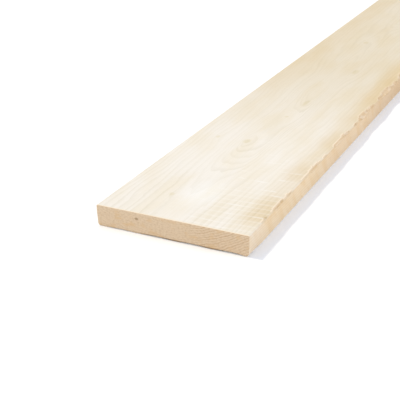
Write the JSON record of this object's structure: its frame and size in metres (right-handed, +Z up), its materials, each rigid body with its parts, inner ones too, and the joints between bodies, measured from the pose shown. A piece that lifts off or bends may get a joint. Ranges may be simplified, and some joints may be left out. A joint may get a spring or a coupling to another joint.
{
  "type": "timber plank",
  "caption": "Rough-sawn softwood plank of rectangular section with square crosscut ends, a partly torn upper arris, and wane and breakout on the lower arrises near an end.",
  "frame": {"origin": "centre of the underside, on the floor that the plank lies on", "axes": "+X along the grain from the near, waned end to the far end, +Y across the sawn face from the torn edge to the other edge, +Z up through the thickness"},
  "size_m": [2, 0.2, 0.027],
  "materials": {
    "sawn_softwood": "raw pale spruce, rough from the saw, dry and unplaned"
  },
  "bodies": {
    "root": {"plank": "sawn_softwood"}
  },
  "joints": []
}
